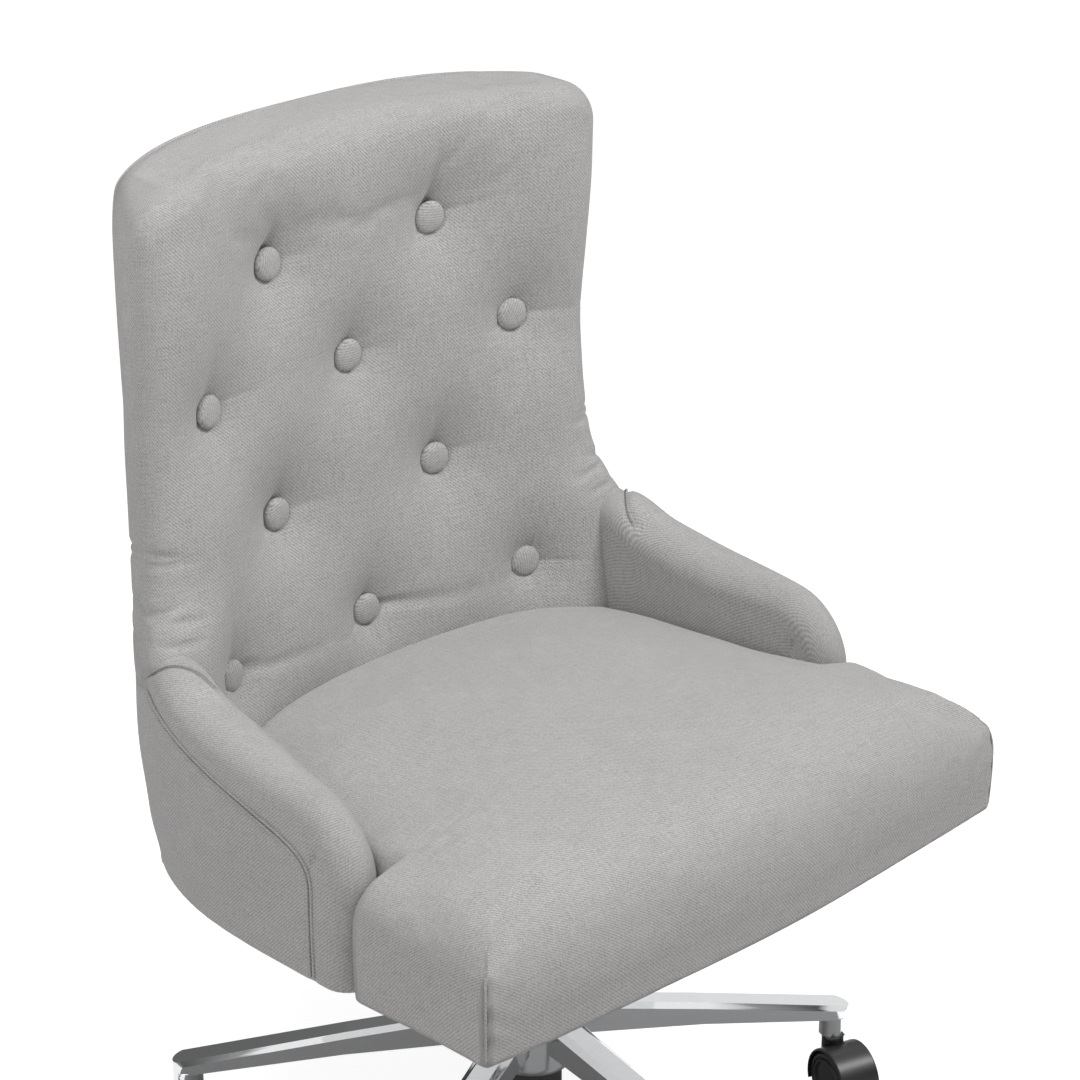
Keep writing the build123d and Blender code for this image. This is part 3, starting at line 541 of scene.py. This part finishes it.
def cover_weave(p, normal):
    """Runs round the barrel from the centre of the rear, and on along the arms."""
    t = np.linspace(0.0, pi / 2, 200)
    ring = np.stack([HALF_WIDTH * np.cos(t) ** 0.72, SHELL_DEPTH * np.sin(t) ** 0.72], 1)
    arc = np.concatenate([[0.0], np.cumsum(np.linalg.norm(np.diff(ring, axis=0), axis=1))])
    ring_angle = np.arctan2(ring[:, 1] / SHELL_DEPTH, ring[:, 0] / HALF_WIDTH)
    behind = p[:, 1] - SHELL_CENTRE_Y
    angle = np.arctan2(np.maximum(behind, 0.0) / SHELL_DEPTH, np.abs(p[:, 0]) / HALF_WIDTH)
    run = arc[-1] - np.interp(angle, ring_angle, arc) + np.maximum(-behind, 0.0)
    side, y, z = np.abs(p[:, 0]), p[:, 1], p[:, 2]
    inward = np.maximum(-outer_side(side, y, z), 0.0)
    run = run + np.maximum(-normal[:, 1], 0.0) * inward
    lap = np.clip(ARM_NOSE_RADIUS + ARM_FRONT_Y - y, 0.0, ARM_NOSE_RADIUS)
    top = crest_z(y) - ARM_NOSE_RADIUS + np.sqrt(ARM_NOSE_RADIUS**2 - lap**2)
    past_crest = inward > 0.5 * (side + inward - arm_inner_x(y))
    drop = np.maximum(top - z, 0.0) * np.where(past_crest, 1.0, -1.0)
    over_shell = z + np.maximum(normal[:, 2], 0.0) * (REAR_Y - y)
    rise = np.where(y < ARM_REAR_Y, top + inward + drop, over_shell)
    return np.stack([np.sign(p[:, 0]) * run, rise, 0 * run], 1)


# ------------------------------------------------------------ sewn details

def across_path(path):
    """Two directions across a path at each of its points."""
    tangent = unit(np.gradient(path, axis=0))
    side = np.zeros_like(path)
    side[0] = np.cross(tangent[0], (0.3, 0.5, 0.8))
    for i in range(1, len(path)):
        side[i] = side[i - 1] - tangent[i] * (side[i - 1] @ tangent[i])
    side = unit(side)
    side[0] = unit(np.cross(np.cross(tangent[0], side[0])[None], tangent[:1]))[0]
    return side, np.cross(tangent, side)


def even_path(points, spacing):
    """The same line with evenly spaced points."""
    points = np.asarray(points, float)
    run = np.concatenate([[0.0], np.cumsum(np.linalg.norm(np.diff(points, axis=0), axis=1))])
    places = np.linspace(0.0, run[-1], max(int(run[-1] / spacing), 4))
    return np.stack([np.interp(places, run, points[:, i]) for i in range(3)], 1)


def smooth_path(points, rounds=3):
    for _ in range(rounds):
        points = np.concatenate([points[:1], (points[:-2] + 2 * points[1:-1] + points[2:]) / 4, points[-1:]])
    return points


def tube_faces(rows, sides, flip=False):
    """Quads between rings of points, and a cap at each end."""
    i, j = np.meshgrid(np.arange(rows - 1), np.arange(sides), indexing="ij")
    k = (j + 1) % sides
    corners = [i * sides + j, (i + 1) * sides + j, (i + 1) * sides + k, i * sides + k]
    if flip:
        corners = corners[:1] + corners[:0:-1]
    quads = np.stack(corners, -1).reshape(-1, 4).tolist()
    return quads + [list(range(sides))[::-1], [(rows - 1) * sides + n for n in range(sides)]]


def tube_mesh(path, radius, sides=10):
    """Points, faces and cloth coordinates of a closed-ended tube."""
    side, up = across_path(path)
    turn = np.linspace(0.0, 2 * pi, sides, endpoint=False)
    ring = side[:, None] * np.cos(turn)[None, :, None] + up[:, None] * np.sin(turn)[None, :, None]
    size = np.full(len(path), radius)
    size[0] = size[-1] = radius * 0.3
    points = (path[:, None] + ring * size[:, None, None]).reshape(-1, 3)
    run = np.repeat(np.arange(len(path)) * np.linalg.norm(path[1] - path[0]), sides)
    weave = np.stack([run, np.tile(turn * radius, len(path)), 0 * run], 1)
    return points, tube_faces(len(path), sides), weave


def joined(parts):
    """Several meshes as one."""
    points, faces, weave, count = [], [], [], 0
    for p, f, w in parts:
        points.append(p)
        weave.append(w)
        faces += [[n + count for n in face] for face in f]
        count += len(p)
    return np.concatenate(points), faces, np.concatenate(weave)


def on_surface(field, points, lift):
    """Moves a line onto a surface, a little proud of it."""
    points = settle(field, np.asarray(points, float), 8)
    return points + unit(gradient(field, points)) * lift


def welt_path(offset):
    """Line of the seam on the sitter's left arm, from the foot up to the back."""
    upright = [(-0.0621, 0.341), (-0.0613, 0.370), (-0.0599, 0.3895), (-0.0593, 0.4200)]
    bend = [(-0.0559, 0.4306), (-0.0451, 0.4397), (-0.0224, 0.4483), (0.0178, 0.4592)]
    rise = [(0.0574, 0.4690), (0.0798, 0.4750), (0.1000, 0.4805), (0.1269, 0.4890),
            (0.1487, 0.4970), (0.1640, 0.5060)]
    line = np.array(upright + bend + rise)
    base = np.stack([np.full(len(line), HALF_WIDTH), line[:, 0], line[:, 1]], 1)
    base = smooth_path(even_path(base, 0.004), 6)
    across = np.cross(unit(np.gradient(base, axis=0)), (1, 0, 0))
    return on_surface(cover_field, base + across * offset, 0.0)


def arm_seam_path():
    """Seam over the arm's top, where the arm meets the back."""
    outside = [(0.2680, 0.1655, 0.5080), (0.2715, 0.1555, 0.5165), (0.2710, 0.1494, 0.5237)]
    over_top = [(0.2645, 0.1438, 0.5293), (0.2566, 0.1364, 0.5292), (0.2497, 0.1303, 0.5263)]
    inside = [(0.2390, 0.1195, 0.5177), (0.2359, 0.1080, 0.5093)]
    path = smooth_path(even_path(outside + over_top + inside, 0.003), 4)
    return smooth_path(settle(cover_field, path, 10, 0.004), 4)


def mirror_pair(path, radius):
    """The same cord on both arms."""
    return [tube_mesh(smooth_path(path) * (sign, 1, 1), radius) for sign in (1, -1)]


def arm_welts():
    """Two thin cords along the seam of each arm's outer face, and one over the arm's top."""
    parts = mirror_pair(welt_path(0.0), WELT_RADIUS) + mirror_pair(welt_path(WELT_SPACING), WELT_RADIUS)
    return joined(parts + mirror_pair(arm_seam_path(), ARM_SEAM_RADIUS))


def corner_seams():
    """Vertical seams at the seat's two front corners."""
    parts = []
    for sign in (-1, 1):
        z = np.linspace(FOOT_Z + 0.003, 0.415, 40)
        x = np.full(40, sign * (HALF_WIDTH + 0.001))
        path = settle(seat_field, np.stack([x, np.full(40, SEAT_FRONT_Y), z], 1), 8)
        path += unit(gradient(seat_field, path)) * -0.0006
        parts.append(tube_mesh(smooth_path(path), CORNER_SEAM_RADIUS))
    return joined(parts)


def whole_back_field(x, y, z):
    return np.minimum(back_pad_field(x, y, z), shell_field(x, y, z))


def back_piping():
    """Cord in the seam between the front padding and the outer cover."""
    z = np.append(np.linspace(0.600, 0.86, 90), 0.87)
    left = [(-back_half_width(h) - 0.004, h) for h in z]
    top_x = np.linspace(-0.238, 0.238, 120)
    top = [(x, back_top(x) + 0.004) for x in top_x]
    line = left + top + [(-x, h) for x, h in left[::-1]]
    points = np.array([(x, 0.2, h) for x, h in line])
    points[:, 1] = pad_front(points[:, 0], points[:, 2]) + pad_wrap(points[:, 0], points[:, 2]) + 0.001
    path = smooth_path(even_path(points, 0.004), 8)
    for _ in range(3):
        path = smooth_path(on_surface(whole_back_field, path, 0.0), 3)
    sunk = 0.0024 * smoothstep(0.82, 0.60, path[:, 2])[:, None]
    return tube_mesh(on_surface(whole_back_field, path, 0.0002 - sunk), PIPING_RADIUS)


def button_mesh(x, z, turn):
    """A domed button covered in cloth, with small gathers at its rim."""
    heights = np.array([-0.0060, -0.0045, -0.0020, 0.0005, 0.0024, 0.0036, 0.0044, 0.0048, 0.0050])
    radii = np.array([0.0100, 0.0122, 0.0135, 0.0138, 0.0128, 0.0105, 0.0074, 0.0038, 0.0006])
    rows = len(heights)
    angle = np.linspace(0.0, 2 * pi, BUTTON_SIDES, endpoint=False)
    low_down = smoothstep(0.003, -0.003, heights)[:, None]
    ring = radii[:, None] * (1.0 + 0.010 * np.sin(BUTTON_GATHERS * angle)[None] * low_down)
    level = np.tile(heights[:, None], (1, BUTTON_SIDES))
    local = np.stack([ring * np.cos(angle), ring * np.sin(angle), level], -1).reshape(-1, 3)
    slope = np.arctan(2 * BACK_CURVE * x)
    out = np.array([-sin(slope), -cos(slope), 0.05 * sin(turn)])
    out /= np.linalg.norm(out)
    across = np.cross(out, (0, 0, 1))
    across /= np.linalg.norm(across)
    up = np.cross(across, out)
    depth = float(middle_depth(np.array(z)) - BACK_CURVE * x**2)
    centre = np.array([x, depth, z]) + out * BUTTON_STAND
    points = centre + local[:, :1] * across + local[:, 1:2] * up + local[:, 2:] * out
    faces = tube_faces(rows, BUTTON_SIDES, flip=True)
    c, s = cos(turn), sin(turn)
    flat_x, flat_y = local[:, 0], local[:, 1]
    weave = np.stack([c * flat_x - s * flat_y, s * flat_x + c * flat_y, 0 * flat_x], 1)
    return points, faces, weave


def covered_buttons():
    return joined([button_mesh(x, z, 0.9 * sin(4.0 * i)) for i, (x, z) in enumerate(button_places())])


# ------------------------------------------------------------ materials

def new_material(name):
    material = bpy.data.materials.new(name)
    material.use_nodes = True
    return material, material.node_tree.nodes["Principled BSDF"]


def node(tree, kind, sockets=(), **settings):
    """Adds a node; a socket value is linked when it is another node's output."""
    new = tree.nodes.new(kind)
    for key, value in settings.items():
        setattr(new, key, value)
    for key, value in dict(sockets).items():
        if isinstance(value, bpy.types.NodeSocket):
            tree.links.new(value, new.inputs[key])
        else:
            new.inputs[key].default_value = value
    return new


def calc(tree, operation, a, b=0.0, c=0.0):
    return node(tree, "ShaderNodeMath", {0: a, 1: b, 2: c}, operation=operation).outputs[0]


def noise(tree, vector, scale, detail=3.0, stretch=None):
    """Noise value round zero; stretch squeezes the pattern along the axes."""
    if stretch:
        vector = node(tree, "ShaderNodeVectorMath", {0: vector, 1: stretch}, operation="MULTIPLY").outputs[0]
    value = node(tree, "ShaderNodeTexNoise", {"Vector": vector, "Scale": scale, "Detail": detail}).outputs[0]
    return calc(tree, "SUBTRACT", value, 0.5)


def shade(tree, value, dark, light):
    """Colour between dark and light by a value from 0 to 1."""
    mix = node(tree, "ShaderNodeMix", {0: value, 6: (*dark, 1), 7: (*light, 1)}, data_type="RGBA")
    return mix.outputs[2]


def bump(tree, height, distance, strength=1.0):
    sockets = {"Height": height, "Distance": distance, "Strength": strength}
    return node(tree, "ShaderNodeBump", sockets).outputs[0]


def woven_fabric(name, thread=0.00105):
    """Fine grey twill with uneven yarn."""
    material, shader = new_material(name)
    tree = material.node_tree
    cloth = node(tree, "ShaderNodeAttribute", attribute_name="weave").outputs["Vector"]
    wander = node(tree, "ShaderNodeTexNoise", {"Vector": cloth, "Scale": 90.0, "Detail": 2.0}).outputs[1]
    shift = node(tree, "ShaderNodeVectorMath", {0: wander, 1: (0.0009, 0.0009, 0.0)}, operation="MULTIPLY")
    moved = node(tree, "ShaderNodeVectorMath", {0: cloth, 1: shift.outputs[0]}, operation="ADD").outputs[0]
    axes = node(tree, "ShaderNodeSeparateXYZ", {0: moved})
    u, v = axes.outputs[0], axes.outputs[1]
    warp = calc(tree, "ABSOLUTE", calc(tree, "SINE", calc(tree, "MULTIPLY", u, pi / thread)))
    weft = calc(tree, "ABSOLUTE", calc(tree, "SINE", calc(tree, "MULTIPLY", v, pi / thread)))
    step = calc(tree, "MULTIPLY", calc(tree, "ADD", u, v), 2 * pi / (3 * thread))
    over = calc(tree, "MULTIPLY_ADD", calc(tree, "SINE", step), 0.5, 0.5)
    height = node(tree, "ShaderNodeMix", {0: over, 2: weft, 3: warp}, data_type="FLOAT").outputs[0]
    yarn = calc(tree, "ADD", noise(tree, cloth, 900.0, 2.0, (1.0, 0.06, 1.0)),
                noise(tree, cloth, 900.0, 2.0, (0.05, 1.0, 1.0)))
    grain = noise(tree, cloth, 620.0, 2.0)
    cloud = noise(tree, cloth, 14.0, 4.0)
    tone = calc(tree, "MULTIPLY_ADD", height, 0.50, -0.02)
    for value, strength in ((over, 0.42), (yarn, 0.62), (grain, 1.3), (cloud, 0.20)):
        tone = calc(tree, "MULTIPLY_ADD", value, strength, tone)
    tree.links.new(shade(tree, tone, FABRIC_DARK, FABRIC_LIGHT), shader.inputs["Base Color"])
    relief = calc(tree, "MULTIPLY_ADD", yarn, 0.5, height)
    tree.links.new(bump(tree, relief, 0.0004, 0.75), shader.inputs["Normal"])
    shader.inputs["Roughness"].default_value = 0.88
    shader.inputs["Sheen Weight"].default_value = 0.22
    shader.inputs["Sheen Roughness"].default_value = 0.45
    return material


def worn(name, dark, light, roughness, scale, depth, metallic=0.0, spread=0.1, stretch=None):
    """Material with a grainy bump and roughness that varies."""
    material, shader = new_material(name)
    tree = material.node_tree
    place = node(tree, "ShaderNodeTexCoord").outputs["Object"]
    grain = noise(tree, place, scale, 4.0, stretch)
    patches = noise(tree, place, 22.0, 3.0)
    tone = calc(tree, "MULTIPLY_ADD", grain, 0.9, calc(tree, "MULTIPLY_ADD", patches, 0.6, 0.5))
    tree.links.new(shade(tree, tone, dark, light), shader.inputs["Base Color"])
    tree.links.new(calc(tree, "MULTIPLY_ADD", patches, spread, roughness), shader.inputs["Roughness"])
    if depth:
        tree.links.new(bump(tree, grain, depth, 0.6), shader.inputs["Normal"])
    shader.inputs["Metallic"].default_value = metallic
    return material


def paint_cad():
    """A procedural material on every CAD node, by its slot in the record."""
    materials = {name: worn(name, dark, light, **finish) for name, (dark, light, finish) in FINISHES.items()}
    for part in frame["record"]["subparts"]:
        material = materials.get(part["material_slot"], fabric)
        for material_slot in frame["nodes"][part["node"]].material_slots:
            material_slot.material = material
    return materials


# ------------------------------------------------------------ scene

def make_camera():
    camera = bpy.data.objects.new("camera", bpy.data.cameras.new("camera"))
    bpy.context.scene.collection.objects.link(camera)
    level = cos(CAMERA_ELEVATION)
    back = Vector((sin(CAMERA_AZIMUTH) * level, -cos(CAMERA_AZIMUTH) * level, sin(CAMERA_ELEVATION)))
    right = Vector((cos(CAMERA_AZIMUTH), sin(CAMERA_AZIMUTH), 0.0))
    camera.location = right * CAMERA_SHIFT + Vector((0, 0, CAMERA_AIM_Z)) + back * CAMERA_DISTANCE
    camera.rotation_mode = "QUATERNION"
    camera.rotation_quaternion = (-back).to_track_quat("-Z", "Y")
    camera.data.lens = CAMERA_LENS
    camera.data.sensor_width = 36.0
    camera.data.clip_end = 50.0
    bpy.context.scene.camera = camera


def area_light(name, place, aim, size, power):
    light = bpy.data.lights.new(name, "AREA")
    light.shape = "DISK"
    light.size = size
    light.energy = power
    lamp = bpy.data.objects.new(name, light)
    lamp.location = place
    lamp.rotation_euler = (Vector(aim) - Vector(place)).to_track_quat("-Z", "Y").to_euler()
    bpy.context.scene.collection.objects.link(lamp)


def studio_world():
    """White to the camera; bands of light and dark for polished metal to reflect."""
    world = bpy.data.worlds.new("studio")
    world.use_nodes = True
    tree = world.node_tree
    ray = node(tree, "ShaderNodeLightPath")
    height = node(tree, "ShaderNodeSeparateXYZ", {0: node(tree, "ShaderNodeTexCoord").outputs["Generated"]})
    bands = node(tree, "ShaderNodeValToRGB", {0: height.outputs[2]})
    stops = bands.color_ramp.elements
    stops[0].position, stops[0].color = 0.0, (0.05, 0.05, 0.05, 1)
    stops[1].position, stops[1].color = 0.70, WHITE
    for place, grey in REFLECTED_BANDS:
        stop = stops.new(place)
        stop.color = (grey, grey, grey, 1)
    from_below = calc(tree, "MULTIPLY_ADD", height.outputs[2], 0.5, 0.5)
    sky = node(tree, "ShaderNodeValToRGB", {0: from_below})
    sky.color_ramp.elements[0].color = (0.70, 0.70, 0.70, 1)
    sky.color_ramp.elements[1].color = (0.38, 0.38, 0.38, 1)
    sky.color_ramp.elements.new(0.52).color = (0.40, 0.40, 0.40, 1)
    glossy = {0: ray.outputs["Is Glossy Ray"], 6: sky.outputs[0], 7: bands.outputs[0]}
    lit = node(tree, "ShaderNodeMix", glossy, data_type="RGBA").outputs[2]
    seen = {0: ray.outputs["Is Camera Ray"], 6: lit, 7: WHITE}
    backdrop = node(tree, "ShaderNodeMix", seen, data_type="RGBA").outputs[2]
    tree.links.new(backdrop, tree.nodes["Background"].inputs[0])
    bpy.context.scene.world = world


def square(name, size, z, material):
    """A level sheet of the studio, not of the chair."""
    corners = [(-size, -size, z), (size, -size, z), (size, size, z), (-size, size, z)]
    sheet = mesh_object(name, corners, [(0, 1, 2, 3)])
    sheet.data.materials.append(material)
    return sheet


def make_studio():
    """Pale floor, soft lights, and two cards that only metal reflects: a grey one on the floor that paints
    shade under the chair into the reflections, and a glowing one under the seat that paints light into them.
    """
    studio_world()
    bpy.context.scene.view_settings.view_transform = "Standard"
    for name, light in LIGHTS.items():
        area_light(name, *light)
    material, shader = new_material("floor")
    shader.inputs["Base Color"].default_value = (0.45, 0.45, 0.45, 1)
    shader.inputs["Roughness"].default_value = 0.8
    shader.inputs["Emission Color"].default_value = WHITE
    shader.inputs["Emission Strength"].default_value = FLOOR_GLOW
    square("floor", FLOOR_SIZE, 0.0, material).visible_diffuse = False
    # Painted shade in reflections: grey card under the chair, seen by no camera, diffuse or shadow ray
    dark, shader = new_material("painted_shade_card")
    shader.inputs["Base Color"].default_value = (0.24, 0.24, 0.24, 1)
    # Painted light in reflections: glowing card under the seat, seen by no camera, diffuse or shadow ray
    painted_light_material, shader = new_material("painted_light_card")
    shader.inputs["Emission Color"].default_value = WHITE
    shader.inputs["Emission Strength"].default_value = PAINTED_LIGHT_CARD_GLOW
    for card in (square("painted_shade_card", PAINTED_SHADE_CARD_SIZE, PAINTED_SHADE_CARD_Z, dark),
                 square("painted_light_card", PAINTED_LIGHT_CARD_SIZE, PAINTED_LIGHT_CARD_Z, painted_light_material)):
        card.visible_camera = card.visible_diffuse = card.visible_shadow = False


def soft_piece(name, points, faces, weave, slot="upholstery"):
    """A fabric piece that moves with the seat."""
    piece = mesh_object(name, points, faces, weave)
    piece.data.materials.append(fabric)
    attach(piece, "seat")
    return piece


def held_seat(p):
    """The seat's cloth is held at the foot, at the arms, behind and by the corner seams."""
    side, y, z = np.abs(p[:, 0]), p[:, 1], p[:, 2]
    foot = smoothstep(0.375, 0.350, z)
    tucked = smoothstep(-0.13, -0.10, y) * smoothstep(arm_inner_x(y) - 0.02, arm_inner_x(y) - 0.006, side)
    behind = smoothstep(0.09, 0.12, y + BACK_CURVE * side**2)
    from_corner = np.hypot(side - HALF_WIDTH, y - SEAT_FRONT_Y)
    seams = np.exp(-((from_corner / 0.012) ** 2)) * smoothstep(0.44, 0.41, z)
    return np.clip(foot + tucked + behind + seams, 0.0, 1.0)


def held_pad(p):
    """The back's cloth is held at the buttons, round its rear edge and where the seat meets it."""
    x, y, z = p[:, 0], p[:, 1], p[:, 2]
    held = smoothstep(0.020, 0.040, y - pad_front(x, z)) + smoothstep(0.49, 0.46, z)
    for bx, bz in button_places():
        held += smoothstep(0.030, 0.018, np.hypot(x - bx, z - bz))
    return np.clip(held, 0.0, 1.0)


def blown_up(field, low, high, held, points, cap):
    """Blows up a cloth bag of this shape and returns how far each point moves."""
    coarse, faces = solid_points(field, low, high, CLOTH_GRID)
    bag = mesh_object("cloth_bag", coarse, faces)
    group = bag.vertex_groups.new(name="held")
    for index, weight in enumerate(held(coarse)):
        group.add([index], float(weight), "REPLACE")
    cloth = bag.modifiers.new("cloth", "CLOTH")
    cloth.settings.vertex_group_mass = "held"
    cloth.settings.use_pressure = True
    cloth.settings.uniform_pressure_force = CLOTH_PRESSURE
    cloth.settings.effector_weights.gravity = 0.0
    cloth.point_cache.frame_end = CLOTH_FRAMES
    for step in range(1, CLOTH_FRAMES + 1):
        bpy.context.scene.frame_set(step)
    result = bag.evaluated_get(bpy.context.evaluated_depsgraph_get()).data
    final = np.empty(len(coarse) * 3)
    result.vertices.foreach_get("co", final)
    moves = final.reshape(-1, 3) - coarse
    bpy.context.scene.frame_set(1)
    bpy.data.objects.remove(bag)
    tree = kdtree.KDTree(len(coarse))
    for index, place in enumerate(coarse):
        tree.insert(place, index)
    tree.balance()
    spread = np.zeros_like(points)
    for index, place in enumerate(points):
        near = tree.find_n(place, 5)
        weights = np.array([1.0 / (distance + 0.002) ** 2 for _, _, distance in near])
        spread[index] = (moves[[n for _, n, _ in near]] * weights[:, None]).sum(0) / weights.sum()
    length = np.linalg.norm(spread, axis=1)
    return spread * (cap * np.tanh(length / cap) / np.maximum(length, 1e-9))[:, None]


def upholstered(name, field, low, high, relief, weave, replaced, held=None):
    """A padded piece: its shape, blown up as cloth where it is held somewhere, then its folds."""
    points, faces = solid_points(field, low, high)
    if held:
        points = points + blown_up(field, low, high, held, points, CLOTH_CAP)
    normal = unit(gradient(field, points))
    cloth = weave(points, normal)
    points = points + normal * relief(points, normal)[:, None]
    piece = soft_piece(name, points, faces, cloth)
    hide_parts(*replaced)


def tension_spring(steel):
    """The spring in two parts, an upper and a lower one."""
    low, high = (np.array(corner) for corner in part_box("tension_spring"))
    centre = (low + high) / 2
    share = np.linspace(0.0, 1.0, SPRING_POINTS)
    turn = 2 * pi * SPRING_COILS * share
    radius = (high[0] - low[0]) / 2 - SPRING_WIRE
    height = low[2] + SPRING_WIRE + share * (high[2] - low[2] - 2 * SPRING_WIRE)
    path = np.stack([centre[0] + radius * np.cos(turn), centre[1] + radius * np.sin(turn), height], 1)
    cut = int(SPRING_SPLIT * SPRING_POINTS)
    for name, part, bodies in (("tension_spring_upper", path[cut:][::-1], ("mechanism", "seat")),
                               ("tension_spring_lower", path[: cut + 1][::-1], ("seat", "spring_cup"))):
        piece = mesh_object(name, *tube_mesh(part, SPRING_WIRE)[:2])
        piece.data.materials.append(steel)
        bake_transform(piece)
        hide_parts("tension_spring")


make_camera()
make_studio()
fabric = woven_fabric("fabric")
finishes = paint_cad()
tension_spring(finishes["steel"])
upholstered("seat_cover", seat_field, *SEAT_REGION, seat_relief, seat_weave,
            ["seat_cushion"], held_seat)
upholstered("back_padding", back_pad_field, *PAD_REGION, pad_relief, pad_weave,
            ["back_pad"], held_pad)
upholstered("outer_cover", cover_field, *COVER_REGION, cover_relief, cover_weave,
            ["back_shell", "arm_left", "arm_right"])
buttons = soft_piece("buttons", *covered_buttons(), "buttons")
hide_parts("back_buttons")
soft_piece("arm_welts", *arm_welts())
soft_piece("corner_seams", *corner_seams())
soft_piece("back_piping", *back_piping())
